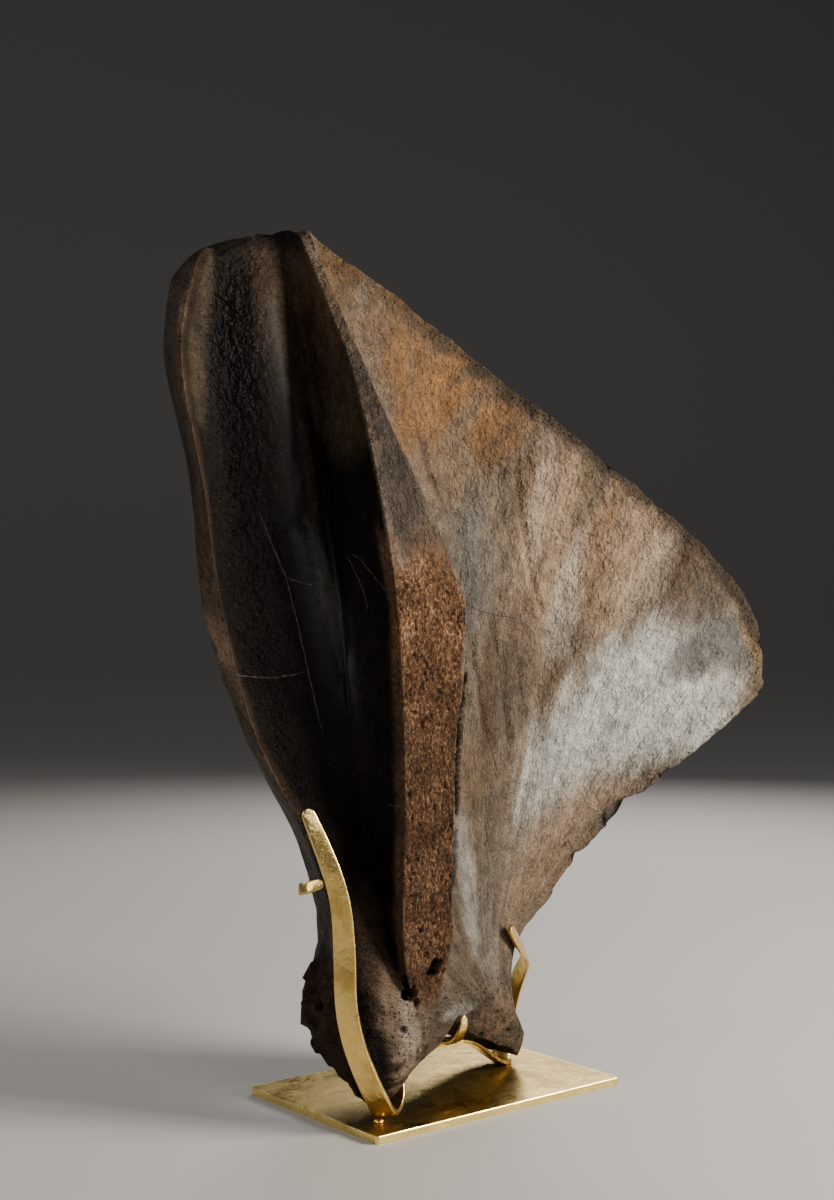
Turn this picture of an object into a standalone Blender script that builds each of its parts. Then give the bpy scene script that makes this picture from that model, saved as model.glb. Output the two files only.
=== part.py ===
"""Fossil mammoth shoulder blade on its brass stand.

Frame: metres, +Z up, origin at the centre of the base plate's underside.
The blade's plane is close to XZ: -X is its front (cranial) end, +X its rear
(caudal) end, and -Y is the outer (lateral) side, which carries the spine.
"""
import math

import bmesh
import bpy
import numpy as np
from mathutils import Vector

MM = 0.001

# Base plate: a rectangular sheet of brass with rounded corners and softened edges.
PLATE_LENGTH = 330 * MM
PLATE_DEPTH = 220 * MM
PLATE_THICKNESS = 8 * MM
PLATE_CORNER = 3 * MM
PLATE_CORNER_STEPS = 3
PLATE_EDGE = 1.2 * MM
PLATE_EDGE_STEPS = 2
TOUCH_GAP = 0.3 * MM

# Bone: the surface is a net of rails. Every rail runs from the joint socket at the bottom to the
# broad top border, through one point at each of ten levels: the socket rim, the band and the
# ridge above it, the neck, the foot of the blade, its lower, middle and upper parts, the
# shoulder below the border, and the border.
ROWS_BETWEEN_LEVELS = (2, 3, 4, 5, 4, 4, 4, 4, 4)

# Rails of the outer side, front to rear, points in millimetres.
OUTER_RAILS = {
    "front_edge": (
        (-151, -12, 52), (-162, 0, 82), (-166, 15, 125), (-150, 0, 176), (-180, -5, 280),
        (-244, 0, 388), (-291, 0, 516), (-301, 10, 642), (-318, 30, 760), (-310, 30, 836)),
    "front_lip": (
        (-151, -44, 42), (-165, -38, 75), (-165, -35, 120), (-158, -35, 180), (-190, -35, 280),
        (-251, -30, 390), (-292, -30, 524), (-307, -25, 632), (-330, -20, 760), (-309, -20, 856)),
    "front_groove": (
        (-146, -63, 25), (-155, -70, 55), (-152, -68, 115), (-147, -55, 180), (-172, -45, 275),
        (-225, -12, 390), (-262, 0, 520), (-268, 8, 640), (-285, 12, 765), (-270, -8, 874)),
    "fossa_swell": (
        (-124, -77, 28), (-130, -88, 60), (-130, -82, 112), (-128, -62, 178), (-145, -48, 272),
        (-175, -30, 385), (-185, -28, 515), (-205, -22, 640), (-222, -18, 770), (-237, -12, 886)),
    "rear_groove": (
        (-102, -76, 44), (-105, -90, 70), (-108, -85, 110), (-104, -52, 175), (-118, -40, 268),
        (-140, -30, 380), (-142, -22, 510), (-155, -10, 635), (-172, -4, 770), (-201, -12, 886)),
    "crest_front": (
        (-84, -74, 57), (-85, -87, 84), (-92, -83, 108), (-110, -82, 172), (-122, -98, 275),
        (-127, -105, 378), (-141, -110, 521), (-155, -100, 636), (-170, -75, 752), (-196, -26, 884)),
    "crest_rear": (
        (-52, -68, 69), (-55, -82, 96), (-68, -82, 119), (-53, -88, 170), (-65, -105, 265),
        (-70, -115, 375), (-61, -120, 523), (-115, -105, 645), (-158, -78, 757), (-188, -28, 889)),
    "spine_foot": (
        (-24, -63, 87), (-24, -76, 106), (-36, -78, 122), (-45, -50, 168), (-45, -35, 262),
        (-50, -30, 365), (-60, -15, 500), (-95, -10, 640), (-135, -8, 765), (-160, -12, 885)),
    "near_blade": (
        (2, -49, 69), (4, -70, 104), (-4, -72, 119), (-10, -45, 165), (-8, -30, 255),
        (-10, -18, 355), (-5, -2, 480), (-30, 8, 620), (-65, 6, 750), (-50, 0, 841)),
    "mid_blade": (
        (29, -44, 57), (34, -62, 91), (34, -62, 106), (30, -40, 160), (35, -25, 245),
        (40, -15, 335), (55, -2, 450), (50, 8, 585), (35, 8, 700), (71, -5, 775)),
    "outer_blade": (
        (56, -38, 45), (64, -50, 73), (64, -50, 96), (65, -30, 155), (75, -22, 230),
        (90, -18, 308), (115, -12, 410), (130, -8, 530), (140, -10, 635), (196, -35, 696)),
    "rear_blade": (
        (83, -27, 34), (92, -35, 56), (79, -33, 90), (94, -18, 150), (110, -20, 212),
        (132, -24, 278), (168, -28, 360), (205, -32, 460), (255, -46, 540), (350, -78, 579)),
    "rear_corner": (
        (106, -12, 20), (112, -16, 44), (93, -12, 92), (115, -3, 148), (138, -18, 196),
        (162, -30, 252), (205, -42, 310), (245, -55, 390), (320, -75, 450), (409, -101, 489)),
    "rear_edge": (
        (116, 6, 16), (122, 6, 42), (102, 9, 90), (132, 12, 147), (153, -12, 188),
        (172, -33, 233), (213, -50, 273), (267, -75, 322), (338, -100, 374), (403, -110, 419)),
}
# Rails of the inner (rib) side, rear to front.
INNER_RAILS = {
    "rear_inner": (
        (107, 36, 16), (113, 40, 45), (99, 38, 88), (122, 35, 147), (147, 16, 190),
        (166, -8, 236), (206, -30, 276), (260, -58, 326), (332, -84, 379), (397, -90, 425)),
    "corner_inner": (
        (95, 50, 25), (98, 57, 56), (90, 57, 90), (102, 46, 150), (120, 26, 211),
        (142, 4, 264), (180, -14, 333), (226, -34, 408), (300, -60, 474), (386, -80, 528)),
    "outer_inner": (
        (76, 54, 31), (78, 66, 62), (72, 66, 98), (75, 52, 155), (90, 35, 230),
        (110, 12, 300), (140, 2, 390), (165, -2, 500), (200, -14, 590), (262, -26, 648)),
    "mid_inner": (
        (15, 62, 56), (14, 75, 84), (10, 76, 119), (5, 60, 164), (5, 42, 256),
        (0, 24, 352), (0, 18, 478), (-20, 22, 616), (-60, 22, 748), (-50, 28, 843)),
    "spine_inner": (
        (-50, 60, 64), (-54, 74, 88), (-60, 74, 120), (-60, 60, 172), (-70, 48, 268),
        (-85, 32, 374), (-95, 24, 510), (-120, 22, 642), (-150, 22, 765), (-185, 24, 889)),
    "swell_inner": (
        (-112, 36, 60), (-118, 44, 84), (-122, 54, 118), (-115, 46, 178), (-140, 36, 276),
        (-175, 26, 386), (-198, 20, 516), (-210, 20, 640), (-225, 24, 770), (-232, 32, 885)),
    "front_inner": (
        (-142, 6, 54), (-150, 18, 84), (-152, 34, 124), (-138, 22, 178), (-171, 14, 280),
        (-228, 20, 388), (-270, 20, 517), (-280, 28, 641), (-292, 42, 766), (-278, 38, 868)),
}
# Mesh columns from each rail to the next; both sides have the same sum.
OUTER_COLUMNS = (2, 4, 4, 3, 5, 4, 5, 4, 4, 4, 4, 3, 3)
INNER_COLUMNS = (2, 3, 3, 10, 9, 11, 5, 6)
SHARP_RAILS = ("front_edge", "front_lip", "crest_front", "crest_rear", "rear_edge", "rear_inner")
BORDER_SWELL = 5 * MM
BORDER_SWELL_WAY = Vector((0.5, 0, 0.8))
BORDER_ROWS = 2
SOCKET_ROWS = 5
SOCKET_HOLLOW = 14 * MM

# Brass stand: flat bars, each a list of (point in mm, direction in which its outer face looks, width in mm).
BAR_CHAMFER = 0.8 * MM
BAR_STEPS = 3
BAR_END_TURNS = (1.25, 0.9, 0.5, 0.0)
CRANIAL_BAR_THICKNESS = 6 * MM
CRANIAL_BAR_PATH = (
    ((-203, -50, 314), (-0.40, -0.91, 0.20), 14),
    ((-190, -62, 272), (-0.50, -0.86, 0.20), 18),
    ((-179, -69, 230), (-0.60, -0.80, 0.10), 20),
    ((-175, -71, 182), (-0.66, -0.75, 0.00), 22),
    ((-175, -73, 134), (-0.72, -0.69, -0.05), 22),
    ((-170, -78, 95), (-0.78, -0.60, -0.20), 23),
    ((-158, -84, 58), (-0.79, -0.52, -0.32), 24),
    ((-144, -84, 32), (-0.72, -0.46, -0.52), 25),
    ((-131, -79, 17), (-0.22, -0.32, -0.92), 25),
    ((-117, -71, 18), (0.55, 0.05, -0.80), 24),
    ((-108, -65, 27), (0.84, 0.38, -0.35), 23),
    ((-105, -62, 37), (0.86, 0.50, 0.05), 21))
PRONG_THICKNESS = 4.5 * MM
PRONG_PATH = (
    ((-195, -56, 247), (-0.60, -0.75, 0.25), 11),
    ((-202, -46, 243), (-0.85, -0.45, 0.25), 12),
    ((-201, -34, 240), (-0.98, 0.15, 0.15), 12),
    ((-191, -20, 237), (-0.80, 0.60, 0.10), 11),
    ((-181, -8, 236), (-0.78, 0.62, 0.10), 9))
CAUDAL_BAR_THICKNESS = 4.5 * MM
CAUDAL_BAR_PATH = (
    ((-24, -29, 58.8), (0, 0, -1), 18),
    ((6, -28, 58), (-0.1, 0, -1), 20),
    ((33, -20, 48), (-0.4, 0, -0.9), 20),
    ((59, -9, 33), (-0.5, 0, -0.85), 20),
    ((82, -1, 19), (-0.4, 0, -0.9), 20),
    ((98, 4, 12), (0, 0, -1), 20),
    ((111, 19, 11), (0, 0, -1), 20),
    ((122, 34, 15), (0.5, 0.4, -0.8), 20),
    ((133, 43, 31), (0.8, 0.55, -0.25), 20),
    ((140, 43, 52), (0.8, 0.6, 0), 19),
    ((143, 37, 78), (0.85, 0.5, 0), 18),
    ((140, 21, 103), (0.98, 0.2, -0.1), 18),
    ((133, 4, 122), (0.95, -0.3, 0.1), 18),
    ((111, -14, 138), (0.75, -0.65, 0.2), 18),
    ((92, -26, 152), (0.5, -0.85, 0.2), 16),
    ((77, -34, 166), (0.35, -0.92, 0.15), 13))
CLAW_THICKNESS = 4.5 * MM
CLAW_PATH = (
    ((-23, -24, 63.7), (0, 0, -1), 12),
    ((-24, -38, 63.7), (0, 0, -1), 12),
    ((-25, -52, 64.5), (0, -0.3, -0.95), 12),
    ((-26, -64, 70), (0, -0.75, -0.65), 12),
    ((-27, -72, 79), (0, -0.95, -0.2), 11),
    ((-27, -75.5, 87), (0, -1, 0.1), 10),
    ((-26, -75, 93), (0, -0.95, 0.3), 8))
WELD_RADIUS = 6 * MM
WELD_TAPER = 0.7
WELD_SIDES = 16


def catmull_rom(before, start, end, after, part):
    """Point on a smooth curve through start and end, at part 0..1 between them."""
    tangent_start = (end - before) / 2
    tangent_end = (after - start) / 2
    square = part * part
    cube = square * part
    return ((2 * cube - 3 * square + 1) * start + (cube - 2 * square + part) * tangent_start
            + (3 * square - 2 * cube) * end + (cube - square) * tangent_end)


def smooth_run(points, counts):
    """Curve through all points, with counts[i] steps from point i to the next."""
    first = 2 * points[0] - points[1]
    last = 2 * points[-1] - points[-2]
    padded = [first, *points, last]
    curve = []
    for index, count in enumerate(counts):
        for step in range(count):
            curve.append(catmull_rom(*padded[index:index + 4], step / count))
    curve.append(points[-1])
    return curve


def creased_run(names, points, counts):
    """smooth_run that breaks at the sharp rails, so that they stay edges."""
    curve = []
    start = 0
    for index in range(1, len(points)):
        if names[index] in SHARP_RAILS or index == len(points) - 1:
            piece = smooth_run(points[start:index + 1], counts[start:index])
            curve.extend(piece[:-1])
            start = index
    curve.append(points[-1])
    return curve


def bone_rows():
    """Closed loops round the bone, from the socket's rim to the top border."""
    rails = {}
    for name, points in {**OUTER_RAILS, **INNER_RAILS}.items():
        metres = [np.array(point) * MM for point in points]
        rails[name] = smooth_run(metres, ROWS_BETWEEN_LEVELS)
    outer_names = list(OUTER_RAILS)
    inner_names = ["rear_edge", *INNER_RAILS, "front_edge"]
    rows = []
    for row in range(sum(ROWS_BETWEEN_LEVELS) + 1):
        outer = creased_run(outer_names, [rails[name][row] for name in outer_names], OUTER_COLUMNS)
        inner = creased_run(inner_names, [rails[name][row] for name in inner_names], INNER_COLUMNS)
        rows.append(outer[:-1] + inner[:-1])
    return rows


def add_strip(mesh, low, high):
    """Faces between two lines of vertices; where the lines meet the face is a triangle."""
    for index in range(len(low) - 1):
        corners = [low[index], low[index + 1], high[index + 1], high[index]]
        ring = [corner for place, corner in enumerate(corners) if corner is not corners[place - 1]]
        if len(ring) > 2:
            mesh.faces.new(ring)


def close_end(mesh, loop, steps, lift):
    """Closes a loop of vertices with strips from its outer half to its inner half."""
    half = len(loop) // 2
    outer = loop[:half + 1]
    inner = [loop[-index % len(loop)] for index in range(half + 1)]
    line = outer
    for step in range(1, steps):
        part = step / steps
        bulge = 4 * part * (1 - part)
        middle = [outer[0]]
        for near, far in zip(outer[1:-1], inner[1:-1]):
            middle.append(mesh.verts.new(near.co.lerp(far.co, part) + lift * bulge))
        middle.append(outer[-1])
        add_strip(mesh, line, middle)
        line = middle
    add_strip(mesh, line, inner)


def make_shoulder_blade():
    mesh = bmesh.new()
    loops = [[mesh.verts.new(Vector(point)) for point in row] for row in bone_rows()]
    for low, high in zip(loops, loops[1:]):
        add_strip(mesh, low + low[:1], high + high[:1])
    close_end(mesh, loops[0], SOCKET_ROWS, Vector((0, 0, SOCKET_HOLLOW)))
    close_end(mesh, loops[-1], BORDER_ROWS, BORDER_SWELL_WAY * BORDER_SWELL)
    bmesh.ops.triangulate(mesh, faces=mesh.faces)
    bmesh.ops.recalc_face_normals(mesh, faces=mesh.faces)
    return add_object("shoulder_blade", mesh)


def bar_section(centre, along, across, half_width, half_thickness):
    """Rectangle with cut corners, square to the bar's path."""
    outward = along.cross(across).normalized()
    wide = max(half_width - BAR_CHAMFER, 0.2 * half_width)
    thin = half_thickness - BAR_CHAMFER
    corners = ((wide, -half_thickness), (half_width, -thin), (half_width, thin), (wide, half_thickness),
               (-wide, half_thickness), (-half_width, thin), (-half_width, -thin), (-wide, -half_thickness))
    return [centre + across * sideways + outward * proud for sideways, proud in corners]


def make_bar(name, path, thickness):
    """Flat bar with round ends, bent and twisted along its path."""
    steps = (BAR_STEPS,) * (len(path) - 1)
    points = [Vector(point) for point in smooth_run([np.array(p) * MM for p, _, _ in path], steps)]
    faces = [Vector(face) for face in smooth_run([np.array(f, dtype=float) for _, f, _ in path], steps)]
    widths = smooth_run([w * MM for _, _, w in path], steps)
    sections = []
    for index, (point, face, width) in enumerate(zip(points, faces, widths)):
        along = (points[min(index + 1, len(points) - 1)] - points[max(index - 1, 0)]).normalized()
        across = face.cross(along).normalized()
        last = len(points) - 1
        turns = BAR_END_TURNS if index == 0 else (0.0,)
        turns = turns if index < last else BAR_END_TURNS[::-1]
        end = -1 if index == 0 else 1
        for turn in turns:
            reach = end * width / 2 * math.sin(turn) if index in (0, last) else 0.0
            half_width = width / 2 * math.cos(turn)
            sections.append(bar_section(point + along * reach, along, across, half_width, thickness / 2))
    mesh = bmesh.new()
    rings = [[mesh.verts.new(corner) for corner in section] for section in sections]
    for low, high in zip(rings, rings[1:]):
        add_strip(mesh, low + low[:1], high + high[:1])
    mesh.faces.new(rings[0])
    mesh.faces.new(rings[-1])
    bmesh.ops.triangulate(mesh, faces=mesh.faces)
    bmesh.ops.recalc_face_normals(mesh, faces=mesh.faces)
    return add_object(name, mesh)


def make_base_plate():
    mesh = bmesh.new()
    bmesh.ops.create_cube(mesh, size=1)
    bmesh.ops.scale(mesh, vec=(PLATE_LENGTH, PLATE_DEPTH, PLATE_THICKNESS), verts=mesh.verts)
    bmesh.ops.translate(mesh, vec=(0, 0, PLATE_THICKNESS / 2), verts=mesh.verts)
    uprights = [edge for edge in mesh.edges if abs(edge.verts[0].co.z - edge.verts[1].co.z) > TOUCH_GAP]
    bmesh.ops.bevel(mesh, geom=uprights, offset=PLATE_CORNER, segments=PLATE_CORNER_STEPS, profile=0.5,
                    affect="EDGES")
    plate = add_object("base_plate", mesh)
    edge = plate.modifiers.new("rounded_edges", "BEVEL")
    edge.width = PLATE_EDGE
    edge.segments = PLATE_EDGE_STEPS
    edge.limit_method = "ANGLE"
    return plate


def make_weld(name, x, y, top):
    """Short bead between the plate and a bar."""
    low = PLATE_THICKNESS + TOUCH_GAP
    mesh = bmesh.new()
    bmesh.ops.create_cone(mesh, cap_ends=True, segments=WELD_SIDES, radius1=WELD_RADIUS,
                          radius2=WELD_TAPER * WELD_RADIUS, depth=top - low)
    bmesh.ops.translate(mesh, vec=(x, y, (top + low) / 2), verts=mesh.verts)
    return add_object(name, mesh)


def add_object(name, mesh):
    data = bpy.data.meshes.new(name)
    mesh.to_mesh(data)
    mesh.free()
    part = bpy.data.objects.new(name, data)
    parts_collection.objects.link(part)
    return part


# name: (red, green, blue, roughness, metallic)
FINISHES = {
    "fossil_bone": (0.16, 0.10, 0.065, 0.5, 0.0),
    "brass_plate": (0.46, 0.33, 0.12, 0.4, 1.0),
    "brass_bar": (0.72, 0.52, 0.20, 0.28, 1.0),
}


def make_finish(name):
    red, green, blue, roughness, metallic = FINISHES[name]
    finish = bpy.data.materials.new(name)
    finish.use_nodes = True
    shader = finish.node_tree.nodes["Principled BSDF"]
    shader.inputs["Base Color"].default_value = (red, green, blue, 1)
    shader.inputs["Roughness"].default_value = roughness
    shader.inputs["Metallic"].default_value = metallic
    return finish


for old in list(bpy.data.objects):
    bpy.data.objects.remove(old, do_unlink=True)
parts_collection = bpy.data.collections.new("mammoth_shoulder_blade")
bpy.context.scene.collection.children.link(parts_collection)
finishes = {name: make_finish(name) for name in FINISHES}
make_shoulder_blade().data.materials.append(finishes["fossil_bone"])
make_base_plate().data.materials.append(finishes["brass_plate"])
bars = (
    make_bar("cranial_arm", CRANIAL_BAR_PATH, CRANIAL_BAR_THICKNESS),
    make_bar("cranial_prong", PRONG_PATH, PRONG_THICKNESS),
    make_bar("caudal_arm", CAUDAL_BAR_PATH, CAUDAL_BAR_THICKNESS),
    make_bar("caudal_claw", CLAW_PATH, CLAW_THICKNESS),
    make_weld("cranial_weld", -135 * MM, -74 * MM, 11.3 * MM),
    make_weld("caudal_weld", 100 * MM, 0 * MM, 9.2 * MM),
)
for bar in bars:
    bar.data.materials.append(finishes["brass_bar"])
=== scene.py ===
import math

import bmesh
import bpy
import numpy as np
from mathutils import Matrix, Vector
from mathutils.bvhtree import BVHTree


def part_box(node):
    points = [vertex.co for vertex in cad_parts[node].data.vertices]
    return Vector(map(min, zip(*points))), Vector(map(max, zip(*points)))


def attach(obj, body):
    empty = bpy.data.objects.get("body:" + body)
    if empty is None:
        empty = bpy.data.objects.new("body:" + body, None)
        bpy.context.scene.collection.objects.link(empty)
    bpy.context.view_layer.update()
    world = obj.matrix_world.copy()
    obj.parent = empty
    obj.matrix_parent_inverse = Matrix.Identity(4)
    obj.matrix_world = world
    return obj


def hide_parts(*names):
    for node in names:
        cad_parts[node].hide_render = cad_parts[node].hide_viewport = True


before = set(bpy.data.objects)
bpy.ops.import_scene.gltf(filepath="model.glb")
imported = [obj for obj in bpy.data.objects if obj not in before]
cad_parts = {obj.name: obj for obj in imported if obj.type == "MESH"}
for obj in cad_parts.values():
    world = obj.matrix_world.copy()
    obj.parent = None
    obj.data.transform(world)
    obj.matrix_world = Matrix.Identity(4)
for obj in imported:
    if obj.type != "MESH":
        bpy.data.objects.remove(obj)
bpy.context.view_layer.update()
mm = 0.001
print("frame loaded:", sorted(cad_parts))

# camera
# Places on the bone are named by the point of the picture where they are seen.
camera = {
    "pictureWide": 834,
    "pictureTall": 1200,
    "focal": 1710,  # in picture points
    "sensor": 36,  # mm along the picture's long side
    "turn": 38.9,  # degrees to the left of looking straight at the outer side
    "away": 1.832,
    "aside": 0.021,
    "height": 0.524,
}
turn = math.radians(camera["turn"])
rightWay = Vector((math.cos(turn), -math.sin(turn), 0))
forwardWay = Vector((math.sin(turn), math.cos(turn), 0))
eye = Vector((0, 0, camera["height"])) - rightWay * camera["aside"] - forwardWay * camera["away"]


def linked(name, data):
    made = bpy.data.objects.new(name, data)
    bpy.context.scene.collection.objects.link(made)
    return made


def makeCamera():
    data = bpy.data.cameras.new("mainCamera")
    data.sensor_width = camera["sensor"]
    data.lens = camera["sensor"] * camera["focal"] / camera["pictureTall"]
    holder = linked("mainCamera", data)
    holder.matrix_world = Matrix((
        (rightWay.x, 0, -forwardWay.x, eye.x),
        (rightWay.y, 0, -forwardWay.y, eye.y),
        (0, 1, 0, eye.z),
        (0, 0, 0, 1)))
    bpy.context.scene.camera = holder


def sightLine(across, down):
    side = (across - camera["pictureWide"] / 2) / camera["focal"]
    rise = (camera["pictureTall"] / 2 - down) / camera["focal"]
    return (forwardWay + rightWay * side + Vector((0, 0, rise))).normalized()


makeCamera()
print("camera placed")


# shader maths
class Wire:
    # a socket of a node tree; sums of wires add Math nodes

    def __init__(self, tree, socket=None):
        self.tree = tree
        self.socket = socket

    def node(self, kind, settings=None, inputs=None, output=0):
        made = self.tree.nodes.new(kind)
        for name, value in (settings or {}).items():
            if name == "stops":
                while len(made.color_ramp.elements) < len(value):
                    made.color_ramp.elements.new(0.5)
                for element, (place, colour) in zip(made.color_ramp.elements, value):
                    element.position = place
                    element.color = colour
            else:
                setattr(made, name, value)
        for name, value in (inputs or {}).items():
            if isinstance(value, Wire):
                self.tree.links.new(value.socket, made.inputs[name])
            else:
                made.inputs[name].default_value = value
        return Wire(self.tree, made.outputs[output])

    def maths(self, operation, *values):
        return self.node("ShaderNodeMath", {"operation": operation}, dict(enumerate(values)))

    def __add__(self, other):
        return self.maths("ADD", self, other)

    __radd__ = __add__

    def __sub__(self, other):
        return self.maths("SUBTRACT", self, other)

    def __rsub__(self, other):
        return self.maths("SUBTRACT", other, self)

    def __mul__(self, other):
        return self.maths("MULTIPLY", self, other)

    __rmul__ = __mul__

    def ramp(self, low, high):
        ends = {"Value": self, "From Min": low, "From Max": high}
        return self.node("ShaderNodeMapRange", {"interpolation_type": "SMOOTHSTEP"}, ends)

    def mix(self, first, second):
        # sockets 6, 7 and 2 are the colour ones
        return self.node("ShaderNodeMix", {"data_type": "RGBA"}, {0: self, 6: first, 7: second}, 2)

    def vectors(self, operation, inputs, output=0):
        return self.node("ShaderNodeVectorMath", {"operation": operation}, inputs, output)

    def scaled(self, amount):
        return self.vectors("SCALE", {0: self, "Scale": amount})

    def part(self, axis):
        return self.node("ShaderNodeSeparateXYZ", {}, {0: self}, axis)

    def attribute(self, name, output="Fac"):
        return self.node("ShaderNodeAttribute", {"attribute_name": name}, {}, output)

    def places(self):
        return self.node("ShaderNodeTexCoord", {}, {}, "Object")

    def stretched(self, stretch):
        return self.vectors("MULTIPLY", {0: self, 1: stretch})

    def noise(self, size, detail=3.0, roughness=0.55, warp=0.0):
        inputs = {"Vector": self, "Scale": 1 / size, "Detail": detail, "Roughness": roughness,
                  "Distortion": warp}
        return self.node("ShaderNodeTexNoise", {}, inputs)

    def cells(self, size):
        inputs = {"Vector": self, "Scale": 1 / size}
        return self.node("ShaderNodeTexVoronoi", {}, inputs, "Distance")


def newFinish(name, constants):
    material = bpy.data.materials.new(name)
    material.use_nodes = True
    shader = material.node_tree.nodes["Principled BSDF"]
    for socket, value in constants.items():
        shader.inputs[socket].default_value = value
    return material, Wire(material.node_tree), shader


def feed(start, shader, links):
    for socket, wire in links.items():
        start.tree.links.new(wire.socket, shader.inputs[socket])


def bumpOf(start, layers):
    # layers of (height wire, depth in metres), the coarsest first
    normal = None
    for height, depth in layers:
        inputs = {"Height": height, "Distance": depth, "Strength": 1.0}
        if normal:
            inputs["Normal"] = normal
        normal = start.node("ShaderNodeBump", {}, inputs)
    return normal


# studio
studio = {
    "aim": (0.03, -0.02, 0.45),  # where the lamps point
    "levelRings": (0.0, 0.8, 2.0, 3.4),  # metres of level floor round the middle
    "bend": 1.6,
    "bendSteps": 8,
    "wallTop": 3.6,
    "sides": 64,
    "floorEnd": (1.6, 4.6),  # metres from the middle where the floor's colour gives way
    "floorColour": (0.50, 0.49, 0.475, 1),
    "wallColour": (0.10, 0.10, 0.105, 1),
    "worldColour": (0.80, 0.86, 0.95, 1),
    "worldStrength": 0.10,
}
# name: degrees round to the right of the camera, height, distance, width, tall, watts, colour
lamps = {
    "keyLamp": (78, 1.15, 2.4, 0.9, 1.0, 150, (1.0, 0.93, 0.82)),
    "fillLamp": (-50, 1.2, 3.0, 1.2, 1.2, 24, (1.0, 0.95, 0.88)),
    "sheenLamp": (28, 1.4, 2.6, 0.7, 1.2, 11, (0.92, 0.96, 1.0)),
    "rimLamp": (168, 1.6, 2.6, 1.2, 1.2, 42, (1.0, 0.96, 0.91)),
    "backLamp": (-106, 1.4, 2.8, 1.4, 1.4, 12, (1.0, 0.93, 0.84)),
}


def makeStudio():
    world = bpy.data.worlds.new("studioWorld")
    world.use_nodes = True
    background = world.node_tree.nodes["Background"]
    background.inputs["Color"].default_value = studio["worldColour"]
    background.inputs["Strength"].default_value = studio["worldStrength"]
    bpy.context.scene.world = world
    aim = Vector(studio["aim"])
    for name, (degrees, height, distance, wide, tall, watts, colour) in lamps.items():
        lamp = bpy.data.lights.new(name, "AREA")
        lamp.shape = "RECTANGLE"
        lamp.size = wide
        lamp.size_y = tall
        lamp.energy = watts
        lamp.color = colour
        holder = linked(name, lamp)
        angle = math.radians(degrees)
        way = rightWay * math.sin(angle) - forwardWay * math.cos(angle)
        holder.location = Vector((0, 0, height)) + way * distance
        holder.rotation_euler = (aim - holder.location).to_track_quat("-Z", "Y").to_euler()


def makeFloor():
    # level floor that bends up into a plain wall all round
    bend, bendSteps = studio["bend"], studio["bendSteps"]
    reach = studio["levelRings"][-1]
    profile = [(ring, 0.0) for ring in studio["levelRings"]]
    for step in range(1, bendSteps + 1):
        angle = math.pi / 2 * step / bendSteps
        profile.append((reach + bend * math.sin(angle), bend * (1 - math.cos(angle))))
    profile.append((reach + bend, studio["wallTop"]))
    net = bmesh.new()
    line = [net.verts.new((along, 0, up)) for along, up in profile]
    edges = [net.edges.new(pair) for pair in zip(line, line[1:])]
    bmesh.ops.spin(net, geom=line + edges, cent=(0, 0, 0), axis=(0, 0, 1), angle=2 * math.pi,
                   steps=studio["sides"], use_merge=True)
    bmesh.ops.remove_doubles(net, verts=net.verts, dist=mm)
    bmesh.ops.recalc_face_normals(net, faces=net.faces)
    if net.faces[0].normal.z < 0:
        bmesh.ops.reverse_faces(net, faces=net.faces)
    mesh = bpy.data.meshes.new("floor")
    net.to_mesh(mesh)
    net.free()
    mesh.shade_smooth()
    floor = linked("floor", mesh)
    material, start, shader = newFinish("paleFloor", {"Roughness": 0.85, "Specular IOR Level": 0.2})
    distance = start.vectors("LENGTH", {0: start.places()}, 1)
    colour = distance.ramp(*studio["floorEnd"]).mix(studio["floorColour"], studio["wallColour"])
    feed(start, shader, {"Base Color": colour})
    mesh.materials.append(material)


makeStudio()
makeFloor()
print("studio lit")


# noise on points
cellPrimes = (73856093, 19349663, 83492791)
seedPrime = 7919
mixingSteps = ((13, 1274126177), (16, 668265263))  # shift, multiplier
seedShift = 3.7  # cells between the patterns of two seeds


def scatter(cells, seed):
    # a random number from 0 to 1 for every whole-numbered cell
    x, y, z = (cells[..., axis] * prime for axis, prime in enumerate(cellPrimes))
    mixed = x ^ y ^ z ^ seed * seedPrime
    for shift, multiplier in mixingSteps:
        mixed = ((mixed ^ (mixed >> shift)) * multiplier) & 0xFFFFFFFF
    return ((mixed ^ (mixed >> 15)) & 0xFFFFFF) / 0xFFFFFF


def softNoise(points, size, seed, octaves=1):
    # smooth random heights from -1 to 1
    total = np.zeros(len(points))
    weight = 1.0
    for octave in range(octaves):
        scaled = points * (2 ** octave / size) + seed * seedShift
        base = np.floor(scaled).astype(np.int64)
        part = scaled - base
        part = part * part * (3 - 2 * part)
        value = np.zeros(len(points))
        for corner in np.ndindex(2, 2, 2):
            share = np.prod(np.where(corner, part, 1 - part), axis=1)
            value += share * scatter(base + np.array(corner), seed + octave)
        total += weight * (2 * value - 1)
        weight *= 0.5
    return total


def pitNoise(points, size, seed, kept=1.0):
    # 1 at the middle of scattered pits, falling to 0 at their rims
    scaled = points / size
    base = np.floor(scaled).astype(np.int64)
    deepest = np.zeros(len(points))
    for corner in np.ndindex(3, 3, 3):
        cell = base + np.array(corner) - 1
        centre = cell + np.stack([scatter(cell, seed + axis) for axis in range(3)], axis=1)
        radius = 0.25 + 0.45 * scatter(cell, seed + 3)
        distance = np.linalg.norm(scaled - centre, axis=1)
        pit = np.clip(1 - distance / radius, 0, 1) * (scatter(cell, seed + 4) < kept)
        deepest = np.maximum(deepest, pit)
    return deepest


def fade(value, low, high):
    part = np.clip((value - low) / (high - low), 0, 1)
    return part * part * (3 - 2 * part)


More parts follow.
